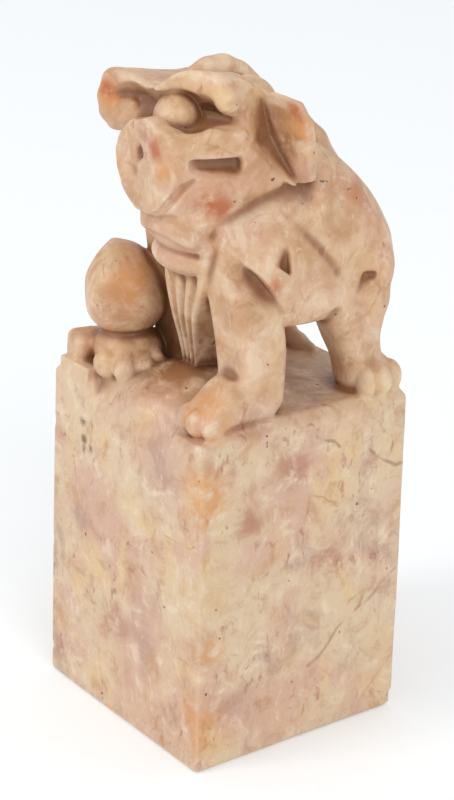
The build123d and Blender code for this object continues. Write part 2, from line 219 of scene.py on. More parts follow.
# The block, drawn in towards its top, with a front rim worn round between the forepaws
block = {
    "sections": [(0.0, 0, 0, 30.3, 29.3), (20.0, 0, 0, 29.9, 29.3), (40.0, 0, 0, 29.2, 29.3)],
    "uprightRadius": 0.8, "narrowest": 28.4, "rimRadius": 0.7, "front": 14.5, "top": 40.0,
    "rollRadius": 3.4, "rollMiddle": 0.4, "rollHalf": 7.6, "rollFoot": 37.4,
    # corners and edges that have been knocked: place and radii of each chip
    "chips": [((15.6, -15.1, 0.0), (0.9, 0.9, 1.2)), ((15.6, 14.6, 1.0), (1.1, 1.6, 1.4)),
              ((-15.1, -14.8, 33.0), (0.9, 0.8, 0.9)), ((-15.2, -14.9, 17.5), (0.7, 0.7, 1.3)),
              ((-15.4, 14.9, 0.0), (1.3, 1.2, 1.3)), ((-15.3, -14.9, 3.2), (0.8, 0.8, 1.0)),
              ((14.9, -14.9, 24.0), (0.62, 0.62, 2.0)), ((1.6, -14.9, 36.6), (0.9, 0.6, 0.5))],
}


def blockShape(p):
    x, y, z = p
    d = standing(p, block["sections"], block["uprightRadius"] / block["narrowest"], block["rimRadius"])
    r = block["rollRadius"]
    roll = np.hypot(np.maximum(-y - (block["front"] - r), 0), np.maximum(z - (block["top"] - r), 0)) - r
    roll = roll - 0.9 * np.maximum(np.abs(x - block["rollMiddle"]) - block["rollHalf"], 0)
    roll = roll - 0.5 * np.maximum(block["rollFoot"] - z, 0)
    d = smoothMax(d, roll, 0.4)
    for centre, radii in block["chips"]:
        d = smoothMax(d, -egg(p, centre, radii), 0.25)
    return d


# The ledge under the paws and the mound left between the forelegs
ledge = {
    "middle": (0, 0.7, 39.9), "half": (13.7, 13.2, 0.85), "corner": 0.5,
    "mound": (1.0, -6.6, 40.0), "moundRadii": (7.0, 7.6, 3.5), "blend": 2.0,
}


def ledgeShape(p):
    return together(brick(p, ledge["middle"], ledge["half"], ledge["corner"]),
                    egg(p, ledge["mound"], ledge["moundRadii"]), blend=ledge["blend"])


# The trunk, cut away at its right front where the lion turns its chest
trunk = {
    "sections": [(49.6, 0.0, 5.0, 24.4, 15.8), (53.6, 0.0, 3.7, 26.0, 19.6), (57.6, 0.0, 2.4, 26.4, 22.0),
                 (62.0, 0.0, 1.4, 25.2, 20.6), (66.0, 0.0, 0.1, 22.6, 17.0), (69.5, 0.0, -1.3, 18.6, 12.0),
                 (72.5, 0.0, -2.4, 13.0, 6.6)],
    "corner": 0.34, "rim": 2.2, "chestCut": 8.0, "chestTurn": (-0.61, -0.79), "cutBlend": 1.6,
    # where the leg lies back under the shoulder's edge, seen from the side
    "legRecess": [(-14, 66), (-11.0, 62.4), (-8.4, 59.5), (-6.0, 57.2), (-4.0, 54.5), (-2.8, 52.4),
                  (-2.3, 48), (-14, 48)],
    "legRecessDepth": 10.9,
    # the line of the jaw's lower edge, below which the neck lies back
    "jawLine": {"x": 9.0, "z": 64.9, "y": -9.1, "xRise": 0.23, "zRise": 0.168, "step": 1.7, "slope": 0.55,
                "end": 1.0},
}


def trunkBody(p, corner=None):
    body = standing(p, trunk["sections"], corner or trunk["corner"], trunk["rim"])
    jawLine = trunk["jawLine"]
    edgeX = jawLine["x"] + (p[1] - jawLine["y"]) * jawLine["xRise"]
    edgeZ = jawLine["z"] + (p[1] - jawLine["y"]) * jawLine["zRise"]
    neck = p[0] - (edgeX - jawLine["step"] + jawLine["slope"] * np.abs(edgeZ - p[2]))
    neck = neck - 0.5 * np.maximum(p[1] - jawLine["end"], 0)
    return smoothMax(body, neck * 0.85, 0.5)


def legRecess(p):
    flat = outlineDistance(p[1], p[2], trunk["legRecess"])
    return capped(flat, p[0], trunk["legRecessDepth"], 18.0, rim=0.2)


def chestPlane(p):
    turn = trunk["chestTurn"]
    return turn[0] * p[0] + turn[1] * p[1] - trunk["chestCut"] + 0 * p[2]


def trunkShape(p):
    body = smoothMax(trunkBody(p), chestPlane(p), trunk["cutBlend"])
    return smoothMax(body, -legRecess(p), 0.25)


# The raised skin over shoulder and haunch on each side, with the grooves that part them
flank = {
    "corner": 0.2, "rim": 2.2,
    "outline": [(-11.4, 62.0), (-8.4, 59.4), (-6.0, 57.2), (-4.0, 54.6), (-2.9, 52.6), (-2.3, 50.6),
                (1.0, 50.6), (3.8, 51.4), (6.0, 52.4), (8.8, 54.2), (14.4, 56.0), (14.4, 64), (9, 68),
                (2.9, 70.3), (-3.4, 70), (-8.9, 66.5)],
    "lift": 0.55, "inner": 8.0, "outer": 14.3, "widest": 13.6, "clear": 0.35,
}


def flankShape(p, side):
    q = sided(p, side)
    patch = outlineDistance(q[1], q[2], flank["outline"])
    patch = capped(patch, q[0], flank["inner"], flank["outer"], rim=0.5)
    d = smoothMax(trunkBody(p, flank["corner"]) - flank["lift"], patch, 0.5)
    d = smoothMax(d, q[0] - flank["widest"] + 0 * p[1], 0.8)
    if side < 0:
        return smoothMax(d, chestPlane(p) + flank["clear"], 1.2)
    return smoothMax(d, -legRecess(p), 0.2)


rump = {
    "points": [(11.0, 10.0, 58.0, 2.6), (11.3, 10.9, 54.6, 2.2), (11.2, 10.4, 51.2, 2.0),
               (11.0, 9.2, 48.6, 1.8)],
}


def rumpShape(p):
    return rope(bothSides(p), rump["points"], blend=1.0)


hindLeg = {
    "sections": [(41.0, 10.2, 10.6, 5.2, 5.2), (44.5, 10.3, 9.8, 5.2, 5.6), (47.0, 10.4, 8.9, 5.6, 6.4),
                 (49.2, 10.5, 8.5, 6.4, 7.4), (51.5, 10.4, 8.6, 6.8, 8.4), (54.6, 10.2, 8.4, 6.6, 8.0)],
    "corner": 0.36, "rim": 0.8, "knee": (12.1, 9.0, 52.9), "kneeRadii": (1.9, 1.9, 2.0),
}


def hindLegShape(p, side):
    q = sided(p, side)
    leg = standing(q, hindLeg["sections"], hindLeg["corner"], hindLeg["rim"])
    return together(leg, egg(q, hindLeg["knee"], hindLeg["kneeRadii"]), blend=0.7)


hindPaw = {
    "middle": (10.9, 10.8, 42.1), "radii": (2.9, 3.4, 2.9), "heading": -8,
    "toes": [(12.7, 13.0, 42.0, 1.3), (13.3, 11.1, 42.0, 1.3), (13.0, 9.2, 41.9, 1.2)],
}


def hindPawShape(p, side):
    q = sided(p, side)
    toes = [egg(q, t[:3], (t[3] * 1.3, t[3], 2.0)) for t in hindPaw["toes"]]
    sole = egg(q, hindPaw["middle"], hindPaw["radii"], turned(hindPaw["heading"]))
    return together(sole, *toes, blend=0.2)


leftForeleg = {
    "sections": [(41.2, 10.9, -5.2, 5.8, 5.8), (45.0, 10.7, -5.2, 6.3, 6.0), (49.0, 10.4, -5.3, 6.9, 6.2),
                 (53.0, 9.6, -5.6, 6.7, 6.4), (56.0, 8.6, -6.0, 6.2, 6.6), (61.0, 7.6, -6.4, 6.0, 5.6)],
    "corner": 0.26, "rim": 1.6,
}


def leftForelegShape(p):
    return standing(p, leftForeleg["sections"], leftForeleg["corner"], leftForeleg["rim"])


leftForepaw = {
    "sections": [(-13.6, 11.8, 41.8, 4.4, 2.9), (-11.8, 11.7, 42.4, 5.2, 4.0), (-9.6, 11.3, 43.1, 5.7, 5.0),
                 (-7.0, 10.9, 43.2, 6.2, 5.2), (-3.4, 10.9, 42.6, 6.0, 4.4)],
    "toes": [(10.0, -12.7, 41.8, 1.45), (11.9, -13.0, 41.8, 1.4), (13.4, -12.3, 41.7, 1.2)],
    "corner": 0.34, "rim": 1.2,
}


def leftForepawShape(p):
    toes = [egg(p, t[:3], (t[3], t[3] * 1.2, 1.7)) for t in leftForepaw["toes"]]
    sole = facing(p, leftForepaw["sections"], leftForepaw["corner"], leftForepaw["rim"])
    return together(sole, *toes, blend=0.25)


# The lifted right foreleg is a bulb that comes to a point, and runs back into the trunk
rightForeleg = {
    "bulb": [(-8.7, -8.5, 49.5, 5.05), (-9.4, -8.5, 51.8, 3.3), (-11.3, -8.4, 54.4, 0.8)],
    "root": [(-7.6, -6.0, 50.0, 3.2), (-7.5, -1.5, 52.5, 3.6)],
    "facetTurn": (-0.45, -0.89, 0.0), "facetDepth": 16.0,
}


def rightForelegShape(p):
    facet = sum(p[i] * rightForeleg["facetTurn"][i] for i in range(3)) - rightForeleg["facetDepth"]
    bulb = smoothMax(rope(p, rightForeleg["bulb"], blend=1.2), facet, 0.15)
    return together(bulb, rope(p, rightForeleg["root"], blend=1.0), blend=1.0)


rightForepaw = {
    "middle": (-7.9, -8.6, 43.0), "radii": (4.3, 4.1, 3.2),
    "toes": [((-8.6, -9.6, 43.6), (-6.9, -12.0, 42.2), 1.85), ((-7.6, -9.4, 43.8), (-4.3, -11.4, 42.1), 1.6),
             ((-7.0, -8.8, 43.8), (-3.4, -9.8, 42.2), 1.5), ((-6.6, -7.8, 43.8), (-3.8, -7.8, 42.3), 1.4)],
    "taper": 1.1,
}


def rightForepawShape(p):
    toes = [finger(p, a, b, r * rightForepaw["taper"], r) for a, b, r in rightForepaw["toes"]]
    return together(egg(p, rightForepaw["middle"], rightForepaw["radii"]), *toes, blend=0.18)


# A low curl at the ledge's right front corner
scroll = {
    "lumps": [((-12.0, -11.6, 42.6), (1.9, 2.1, 1.9)), ((-12.4, -8.4, 42.2), (1.6, 2.2, 2.0))],
    "foot": ((-11.0, -11.4, 40.5), (2.9, 2.8, 0.95)), "heading": -12, "roll": 8,
}


def scrollShape(p):
    turn = turned(scroll["heading"], 0, scroll["roll"])
    lumps = [brick(p, middle, half, 1.1, turn) for middle, half in scroll["lumps"]]
    return together(*lumps, brick(p, *scroll["foot"], 0.3), blend=0.25)


# The fluted chest hair, and the chest wall behind it that closes the space between the forelegs
apron = {
    "sections": [(41.5, 0.3, -3.9, 2.6, 3.8), (46.0, 0.8, -4.8, 3.8, 4.2), (50.0, 1.6, -5.9, 5.2, 4.6),
                 (54.0, 3.4, -7.0, 7.4, 5.2), (60.0, 4.8, -7.4, 9.2, 6.2)],
    "wall": [(40.5, -3.2, -3.2, 9.0, 3.6), (48.0, -3.4, -3.3, 10.0, 4.2), (58.0, -3.4, -3.6, 10.0, 7.0)],
    "flutes": 4, "fluteDepth": 0.55,
}


def apronShape(p):
    s = np.array(apron["sections"])
    share = (p[0] - along(p[2], s[:, 0], s[:, 1])) / along(p[2], s[:, 0], s[:, 3])
    groove = (0.5 + 0.5 * np.cos(2 * np.pi * apron["flutes"] * share)) ** 2
    hair = standing(p, apron["sections"], corner=0.10, rim=0.5) + apron["fluteDepth"] * groove
    return together(hair, standing(p, apron["wall"], corner=0.2, rim=0.8), blend=0.5)


# The flat top of the head, whose front rim overhangs the eyes as the brows
crown = {
    "outline": [(-9.0, -6.0), (-9.0, -11.0), (-6.5, -11.4), (-1.5, -11.4), (1.2, -12.0), (4.0, -10.8),
                (6.4, -8.9), (8.4, -7.4), (9.6, -5.6), (9.6, -3.0), (8.0, 0.0), (4.0, 1.6), (-4.0, 1.6),
                (-8.0, -1.0)],
    # the height of the top across the head, and what the way to the nape adds to it
    "acrossX": ((-11, -8, -5, -1, 1, 3.6, 6, 8, 10, 12),
                (74.6, 76.0, 76.4, 76.3, 76.5, 78.3, 78.8, 78.4, 76.8, 75.0)),
    "alongY": ((-14, -10, -6, -3, 0, 2, 5), (-0.2, 0.0, -0.7, -1.1, -1.3, -2.4, -5.6)),
    "thick": 5.0, "rim": 0.7, "swell": 0.4, "parting": 0.6, "browBack": -4.5,
    # the cove under the brows, in which the eyes stand
    "cove": [(-7.0, -12.6, 72.4, 2.2), (-3.4, -12.2, 72.8, 2.6), (0.8, -12.2, 72.9, 2.6),
             (4.4, -11.2, 73.6, 2.7), (7.0, -9.8, 73.8, 2.1), (9.2, -8.2, 73.4, 1.4)],
    "hoodFold": ((-6.2, -10.2, 71.2), (2.6, 1.6, 2.2)),
    "hood": [(-7.3, -11.3, 70.3, 0.9), (-8.3, -11.2, 71.4, 1.2), (-8.8, -11.0, 72.8, 1.3),
             (-8.3, -10.8, 74.6, 1.4)],
    "drape": [(7.2, -8.0, 77.0, 1.3), (8.4, -7.9, 76.0, 1.3), (9.0, -7.8, 74.9, 0.9)],
}


def crownTop(p):
    return along(p[0], *crown["acrossX"]) + along(p[1], *crown["alongY"])


def crownPlate(p):
    flat = outlineDistance(p[0], p[1], crown["outline"]) - crown["swell"]
    return capped(flat, p[2] - crownTop(p), -crown["thick"], 0.0, crown["rim"])


def cove(p):
    return rope(p, crown["cove"], blend=1.0)


def leftBrowShape(p):
    plate = smoothMax(crownPlate(p), crown["parting"] - p[0], 0.6)
    plate = smoothMax(plate, p[1] - crown["browBack"], 0.6)
    return together(smoothMax(plate, -cove(p), 0.5), rope(p, crown["drape"], blend=0.5), blend=0.8)


def rightBrowShape(p):
    plate = smoothMax(crownPlate(p), p[0] - crown["parting"], 0.6)
    hood = rope(p, crown["hood"], blend=0.6)
    return together(smoothMax(plate, -cove(p), 0.5), hood, egg(p, *crown["hoodFold"]), blend=0.8)


skull = {
    "brow": ((7.0, -4.8, 74.6), (3.2, 3.2, 2.6)),
    "sections": [(62.5, 1.4, -3.2, 12.0, 11.0), (66.5, 1.4, -3.8, 15.4, 12.0), (70.5, 1.0, -4.2, 16.4, 11.4),
                 (74.0, 0.6, -4.2, 16.0, 9.6), (77.0, 0.4, -4.8, 14.0, 8.4)],
    "corner": 0.30, "rim": 1.4, "underCrown": 0.3,
}


def skullShape(p):
    d = standing(p, skull["sections"], skull["corner"], skull["rim"])
    d = together(d, egg(p, *skull["brow"]), blend=0.6)
    d = smoothMax(d, p[2] - crownTop(p) + skull["underCrown"], 0.5)
    return smoothMax(d, -cove(p), 0.5)


muzzle = {
    "sections": [(-14.2, 2.7, 68.2, 9.0, 9.4), (-12.6, 2.9, 68.0, 11.2, 9.2), (-10.4, 3.0, 67.9, 13.0, 8.8),
                 (-8.0, 2.8, 68.6, 14.4, 9.4), (-5.0, 2.4, 69.0, 16.0, 9.0), (-1.5, 2.0, 69.4, 17.6, 8.0)],
    "ridge": [(2.6, -13.2, 72.4, 1.1), (4.8, -12.8, 71.6, 1.2), (6.8, -11.6, 71.2, 1.2),
              (8.6, -9.6, 72.2, 1.2), (9.2, -7.0, 72.2, 1.2), (9.0, -4.4, 71.8, 1.2)],
    "corner": 0.26, "rim": 0.5,
}


def muzzleShape(p):
    cheeks = facing(p, muzzle["sections"], muzzle["corner"], muzzle["rim"])
    return together(cheeks, rope(p, muzzle["ridge"], blend=0.6), blend=0.7)


nose = {
    "outline": [(-1.9, 68.9), (-1.4, 70.2), (0.4, 71.7), (2.8, 72.6), (3.6, 72.3), (5.7, 70.1), (7.0, 68.2),
                (5.8, 65.9), (4.2, 64.1), (1.2, 64.1), (-0.8, 65.5), (-1.7, 67.3)],
    "swell": 1.05, "front": -14.4, "back": -12.2, "rim": 0.4,
}


def noseShape(p):
    flat = outlineDistance(p[0], p[2], nose["outline"]) - nose["swell"]
    return capped(flat, p[1], nose["front"], nose["back"], nose["rim"])


jaw = {
    "sections": [(-13.5, 3.5, 62.3, 5.6, 2.4), (-12.2, 3.8, 62.4, 9.0, 4.4), (-10.4, 3.6, 62.6, 11.8, 6.0),
                 (-8.0, 3.2, 63.4, 13.6, 6.2), (-4.0, 2.6, 65.2, 16.0, 5.0), (0.0, 2.2, 66.6, 17.6, 4.4),
                 (2.2, 2.0, 67.3, 18.0, 4.0)],
    "corner": 0.2, "rim": 0.5,
    # the underside rises steeply outside turnX, and gently towards the nape from startY
    "under": {"z": 59.0, "turnX": 7.6, "steep": 2.4, "startY": -9.1, "rise": 0.168},
}


def jawShape(p):
    under = jaw["under"]
    lift = under["steep"] * np.maximum(p[0] - under["turnX"], 0) + under["rise"] * (p[1] - under["startY"])
    underside = under["z"] + lift - p[2]
    return smoothMax(facing(p, jaw["sections"], jaw["corner"], jaw["rim"]), underside * 0.4, 0.5)


beard = {"lobes": [((3.4, -8.5, 60.4), (5.8, 4.0, 2.4)), ((3.2, -8.4, 57.7), (5.1, 3.8, 2.2))]}


def beardShape(p):
    return together(*(egg(p, middle, radii) for middle, radii in beard["lobes"]), blend=0.5)


eyes = {
    "left": ((2.4, -10.0, 72.5), (2.9, 2.6, 3.35)),
    "right": ((-4.2, -8.0, 71.6), (2.5, 2.2, 2.6)),
    "roll": 5,
}


def eyeShape(p, side):
    middle, radii = eyes[side]
    return egg(p, middle, radii, turned(roll=eyes["roll"]))


ears = {
    "outline": [(-5.2, 75.9), (-3.0, 76.1), (-0.9, 75.2), (0.6, 72.8), (1.2, 69.6), (1.2, 67.0), (-0.6, 66.6),
                (-2.6, 68.6), (-4.2, 72.0), (-6.4, 74.8)],
    "outer": 12.4, "leftInner": 8.5, "rightInner": 8.0, "rightShift": (-2.0, -2.6), "swell": 0.5, "rim": 0.7,
}


def earShape(p, side):
    shift = (0, 0) if side > 0 else ears["rightShift"]
    flat = outlineDistance(p[1] - shift[0], p[2] - shift[1], ears["outline"]) - ears["swell"]
    inner = ears["leftInner"] if side > 0 else ears["rightInner"]
    return capped(flat, p[0] * side, inner, ears["outer"], ears["rim"])


crest = {
    "points": [(-0.2, -6.0, 76.6, 0.9), (0.2, -4.4, 76.8, 1.3), (0.4, -2.6, 76.7, 1.5),
               (0.6, -0.8, 75.9, 1.4), (0.8, 1.0, 75.0, 1.1)],
}


def crestShape(p):
    return rope(p, crest["points"], blend=1.0)


# Locks down the nape: each point's share of the lock's place across, its y and z, and its radius
mane = {
    "locks": 5, "spread": 3.0,
    "points": [(0.86, 0.2, 73.6, 1.1), (1.00, 2.6, 72.4, 1.4), (1.10, 5.2, 69.1, 1.6), (1.20, 8.2, 64.8, 1.5),
               (1.20, 9.6, 62.6, 0.9)],
    "neck": ((0.2, 0.2, 68.6), (9.6, 5.8, 4.9)),
}


def maneShape(p):
    locks = []
    for i in range(mane["locks"]):
        aside = mane["spread"] * (i - (mane["locks"] - 1) / 2)
        locks.append(rope(p, [(aside * s, y, z, r) for s, y, z, r in mane["points"]], blend=0.8))
    return together(together(*locks, blend=0.2), egg(p, *mane["neck"]), blend=0.5)


tail = {
    "points": [(0.0, 12.6, 52.0, 1.2), (0.3, 13.0, 54.4, 1.4), (-0.5, 12.8, 58.0, 1.7),
               (0.4, 11.4, 62.0, 1.7), (0.0, 9.8, 65.0, 1.0)],
    "curl": [(-8.0, 11.4, 41.8, 1.6), (-4.6, 11.6, 41.9, 1.35), (-2.2, 11.8, 41.5, 0.9),
             (-0.2, 12.2, 41.2, 0.5)],
}


def tailShape(p):
    return rope(p, tail["points"], blend=0.8)


def tailCurlShape(p):
    return rope(p, tail["curl"], blend=0.6)


# Each mass: piece name, the CAD nodes it stands for, how softly it joins the rest, its shape
masses = [
    ("sealBlock", ["seal_block"], 0.3, blockShape),
    ("ledge", ["plinth"], 1.5, ledgeShape),
    ("trunk", ["trunk"], 0.6, trunkShape),
    ("leftFlank", ["left_shoulder", "left_haunch"], 0.3, lambda p: flankShape(p, 1)),
    ("rightFlank", ["right_shoulder", "right_haunch"], 0.3, lambda p: flankShape(p, -1)),
    ("rumpBand", [], 1.0, rumpShape),
    ("leftHindLeg", ["left_hind_leg"], 0.5, lambda p: hindLegShape(p, 1)),
    ("rightHindLeg", ["right_hind_leg"], 0.5, lambda p: hindLegShape(p, -1)),
    ("leftHindPaw", ["left_hind_paw"], 0.6, lambda p: hindPawShape(p, 1)),
    ("rightHindPaw", ["right_hind_paw"], 0.6, lambda p: hindPawShape(p, -1)),
    ("leftForeleg", ["left_foreleg"], 0.4, leftForelegShape),
    ("leftForepaw", ["left_forepaw"], 0.6, leftForepawShape),
    ("rightForeleg", ["right_foreleg", "right_foreleg_fringe"], 0.6, rightForelegShape),
    ("rightForepaw", ["right_forepaw"], 0.5, rightForepawShape),
    ("cornerScroll", ["corner_scroll"], 0.5, scrollShape),
    ("chestApron", ["chest_apron"], 0.5, apronShape),
    ("skull", ["skull"], 0.4, skullShape),
    ("muzzle", ["muzzle"], 0.6, muzzleShape),
    ("nosePad", ["nose_pad"], 0.4, noseShape),
    ("lowerJaw", ["lower_jaw"], 0.3, jawShape),
    ("beard", ["beard"], 0.5, beardShape),
    ("leftEye", ["left_eye"], 0.25, lambda p: eyeShape(p, "left")),
    ("rightEye", ["right_eye"], 0.25, lambda p: eyeShape(p, "right")),
    ("leftBrow", ["left_brow"], 0.4, leftBrowShape),
    ("rightBrow", ["right_brow"], 0.4, rightBrowShape),
    ("leftEar", ["left_ear"], 0.5, lambda p: earShape(p, 1)),
    ("rightEar", ["right_ear"], 0.5, lambda p: earShape(p, -1)),
    ("crest", ["crest"], 0.6, crestShape),
    ("maneLocks", ["mane_locks"], 0.5, maneShape),
    ("tail", ["tail"], 0.5, tailShape),
    ("tailCurl", ["tail_curl"], 0.5, tailCurlShape),
]

# Cuts made after the masses were roughed out
cutSizes = {
    "nostril": [(1.5, -14.5, 70.4, 0.38), (1.7, -14.2, 69.6, 0.52), (1.1, -14.5, 68.6, 0.38)],
    "nostrilDip": ((0.7, -15.3, 67.4), (1.1, 1.2, 1.5)),
    "noseNick": ((0.2, -14.6, 72.3), (0.4, 0.8, 0.4)),
    "rightMouth": ((-6.4, -9.0, 68.4), (2.2, 3.2, 1.0), 0.25),
    "mouth": [(8.6, 70.0), (15, 70.6), (15, 65.2), (10.2, 67.7), (8.8, 69.0)],
    "mouthDepth": (-12.6, -6.9),
    "jawCrease": [(3.4, -14.5, 62.9, 0.25), (5.4, -14.3, 63.7, 0.38), (7.4, -13.8, 66.0, 0.38),
                  (8.1, -13.1, 67.2, 0.35), (8.6, -12.2, 67.9, 0.25)],
    "jawStep": [(9.8, -9.4, 64.1, 0.25), (10.6, -5.5, 64.9, 0.4), (11.4, -1.8, 65.5, 0.45),
                (12.0, 1.0, 66.0, 0.4), (12.2, 2.4, 66.4, 0.25)],
    # the hollow in front of the ear grows shallow towards its foot and leans back towards its top
    "earHollow": [(7.9, -1.2), (12.9, 0.9), (18, 0.9), (18, -7.4), (10.8, -6.6), (8.6, -3.2)],
    "earHollowHeight": (66.4, 76.9), "earHollowFade": (71.2, 0.55),
    "earHollowLean": ((66, 68, 73.5, 77), (1.4, 0.5, -1.2, -2.2)),
    "browCrease": [(8.4, -9.6, 74.0, 0.6), (9.8, -7.6, 74.0, 0.9), (10.8, -5.2, 74.2, 1.2),
                   (11.2, -3.2, 73.6, 1.1)],
    "eyeSocket": [(6.4, -11.4, 72.6, 0.4), (7.2, -10.0, 73.6, 0.8), (6.8, -9.2, 75.0, 0.7)],
    "flankGroove": [(10.4, -3.6, 65.3, 0.3), (11.8, -1.9, 63.4, 0.45), (13.2, 0.1, 61.0, 0.6),
                    (13.7, 2.0, 59.0, 0.6), (13.8, 4.1, 56.2, 0.55), (13.8, 5.7, 54.0, 0.4)],
    "shoulderPit": [(-5.2, 59.2), (-2.4, 60.2), (-2.3, 57.0)],
    "shoulderPitDepth": (11.9, 15.0),
    "kneeArch": [(13.9, 6.9, 53.2, 0.4), (13.6, 8.2, 54.9, 0.55), (13.4, 9.2, 54.9, 0.4)],
}


def mouthSlot(p):
    flat = outlineDistance(p[0] - 0.14 * (p[1] + 7.5), p[2] + 0.05 * (p[1] + 9), cutSizes["mouth"])
    return capped(flat, p[1] + 0 * p[0], *cutSizes["mouthDepth"], rim=0.5)


def earHollow(p):
    top, slope = cutSizes["earHollowFade"]
    x = p[0] - slope * np.maximum(top - p[2], 0)
    y = p[1] - along(p[2], *cutSizes["earHollowLean"])
    return capped(outlineDistance(x, y, cutSizes["earHollow"]), p[2], *cutSizes["earHollowHeight"], rim=0.6)


def shoulderPit(p):
    flat = outlineDistance(p[1], p[2], cutSizes["shoulderPit"])
    return capped(flat, p[0] + 0.2 * p[1], *cutSizes["shoulderPitDepth"], rim=0.3)


# How soft each cut's edge is, and its shape
cuts = [
    (0.2, lambda p: rope(p, cutSizes["nostril"], blend=0.3)),
    (0.4, lambda p: egg(p, *cutSizes["nostrilDip"])),
    (0.2, lambda p: egg(p, *cutSizes["noseNick"])),
    (0.35, mouthSlot),
    (0.3, lambda p: brick(p, *cutSizes["rightMouth"], turned(pitch=4))),
    (0.15, lambda p: rope(p, cutSizes["jawCrease"], blend=0.2)),
    (0.25, lambda p: rope(p, cutSizes["jawStep"], blend=0.4)),
    (0.4, earHollow),
    (0.5, lambda p: rope(p, cutSizes["browCrease"], blend=0.3)),
    (0.4, lambda p: rope(p, cutSizes["eyeSocket"], blend=0.5)),
    (0.35, lambda p: rope(bothSides(p), cutSizes["flankGroove"], blend=0.4)),
    (0.3, shoulderPit),
    (0.3, lambda p: rope(bothSides(p), cutSizes["kneeArch"], blend=0.3)),
]


# Smooth random waves over the whole stone, the same in every grid
def waves(grid, size, seed):
    low, high = sculpting["waveBox"]
    counts = [int((b - a) / size) + 5 for a, b in zip(low, high)]
    field = np.random.default_rng(seed).uniform(-1, 1, counts).astype(np.float32)
    for i, axis in enumerate(grid["axes"]):
        t = (axis - low[i]) / size + 1
        cell = np.floor(t).astype(int)
        f = t - cell
        weights = np.zeros((len(axis), counts[i]), np.float32)
        rows = np.arange(len(axis))
        cubics = ((1 - f) ** 3, 3 * f ** 3 - 6 * f * f + 4, -3 * f ** 3 + 3 * f * f + 3 * f + 1, f ** 3)
        for offset, share in enumerate(cubics):
            weights[rows, cell + offset - 1] = share / 6
        field = np.moveaxis(np.tensordot(weights, field, axes=(1, i)), 0, i)
    return np.ascontiguousarray(field)


# The box in which a shape comes within reach, found on a grid of 1 mm
def reachOf(shape, reach):
    low, high = sculpting["searchBox"]
    coarse = makeGrid(low, high, 1.0)
    p = window(coarse, low, high)[1]
    spots = np.argwhere(np.broadcast_to(shape(p), coarse["shape"]) < reach + 1.0)
    margin = 0.6
    return coarse["low"] + spots.min(axis=0) - margin, coarse["low"] + spots.max(axis=0) + margin


# Joins all masses on one grid and keeps, for each point, which mass is nearest and by how much
def sculpt(low, high, step):
    grid = makeGrid(low, high, step)
    stone = np.full(grid["shape"], sculpting["far"], np.float32)
    near, second = stone.copy(), stone.copy()
    owner = np.full(grid["shape"], -1, np.int8)
    for i, (name, nodes, blend, shape) in enumerate(masses):
        box = reachOf(shape, sculpting["massReach"])
        if box[1][2] < low[2] or box[0][2] > high[2]:
            continue
        cut, p = window(grid, *box)
        d = np.broadcast_to(shape(p), stone[cut].shape).astype(np.float32)
        stone[cut] = smoothMin(stone[cut], d, blend)
        n, s, o = near[cut], second[cut], owner[cut]
        closer = d < n
        s[...] = np.where(closer, n, np.minimum(s, d))
        o[...] = np.where(closer, i, o)
        n[...] = np.where(closer, d, n)
    for softness, shape in cuts:
        box = reachOf(shape, sculpting["cutReach"])
        if box[1][2] < low[2] or box[0][2] > high[2]:
            continue
        cut, p = window(grid, *box)
        stone[cut] = smoothMax(stone[cut], -shape(p), softness)
    for size, height, seed in sculpting["handWaves"]:
        stone += height * waves(grid, size, seed)
    # nothing stands out past the block's own sides
    x, y = grid["axes"][0][:, None, None], grid["axes"][1][None, :, None]
    inset = sculpting["skinInset"]
    halfWide, halfDeep = (s / 2 for s in printFace["size"])
    sides = np.maximum(np.abs(x) - halfWide + inset, np.abs(y) - halfDeep + inset)
    grid.update(stone=np.maximum(stone + inset, sides), near=near, second=second, owner=owner)
    return grid


# Two passes of a box blur along every axis stand in for a soft round brush
def softened(field, radius, step):
    n = max(1, int(round(radius / step)))
    for axis in (0, 1, 2):
        for run in range(2):
            padding = [(n + 1, n) if i == axis else (0, 0) for i in range(3)]
            sums = np.cumsum(np.pad(field, padding, mode="edge"), axis=axis, dtype=np.float32)
            upper = np.take(sums, range(2 * n + 1, sums.shape[axis]), axis=axis)
            lower = np.take(sums, range(0, sums.shape[axis] - 2 * n - 1), axis=axis)
            field = (upper - lower) / (2 * n + 1)
    return field


# Relief that the finish reads from the shape, for wear, for painted shade in the hollows and for a painted
# highlight on the ridges: ridges stand above the softened stone, hollows lie below it
def measureRelief(grid):
    grid["wearAndShade"] = {}
    band = sculpting["reliefBand"]
    for label, (brush, height) in sculpting["wearAndShade"].items():
        soft = softened(np.clip(grid["stone"], -band, band), brush, grid["step"])
        grid["wearAndShade"][label] = (soft - grid["stone"]) / height


# Values of a field between its grid points
def sample(field, spots):
    spots = np.clip(spots, 0, np.array(field.shape) - 1 - 1e-3)
    i = spots.astype(int)
    f = (spots - i).astype(np.float32)
    value = 0
    for corner in range(8):
        o = [(corner >> k) & 1 for k in range(3)]
        w = np.prod([f[:, k] if o[k] else 1 - f[:, k] for k in range(3)], axis=0)
        value = value + w * field[i[:, 0] + o[0], i[:, 1] + o[1], i[:, 2] + o[2]]
    return value.astype(np.float32)


# Drops every loose scrap of a mesh and keeps its largest shell
def largestShell(points, quads):
    label = np.arange(len(points))
    while True:
        lowest = label[quads].min(axis=1)
        fresh = label.copy()
        for k in range(4):
            np.minimum.at(fresh, quads[:, k], lowest)
        fresh = fresh[fresh]
        if np.array_equal(fresh, label):
            break
        label = fresh
    marks, counts = np.unique(label[quads[:, 0]], return_counts=True)
    kept = quads[label[quads[:, 0]] == marks[counts.argmax()]]
    used, order = np.unique(kept, return_inverse=True)
    return points[used], order.reshape(-1, 4)


def placed(name, data):
    made = bpy.data.objects.new(name, data)
    bpy.context.scene.collection.objects.link(made)
    return made
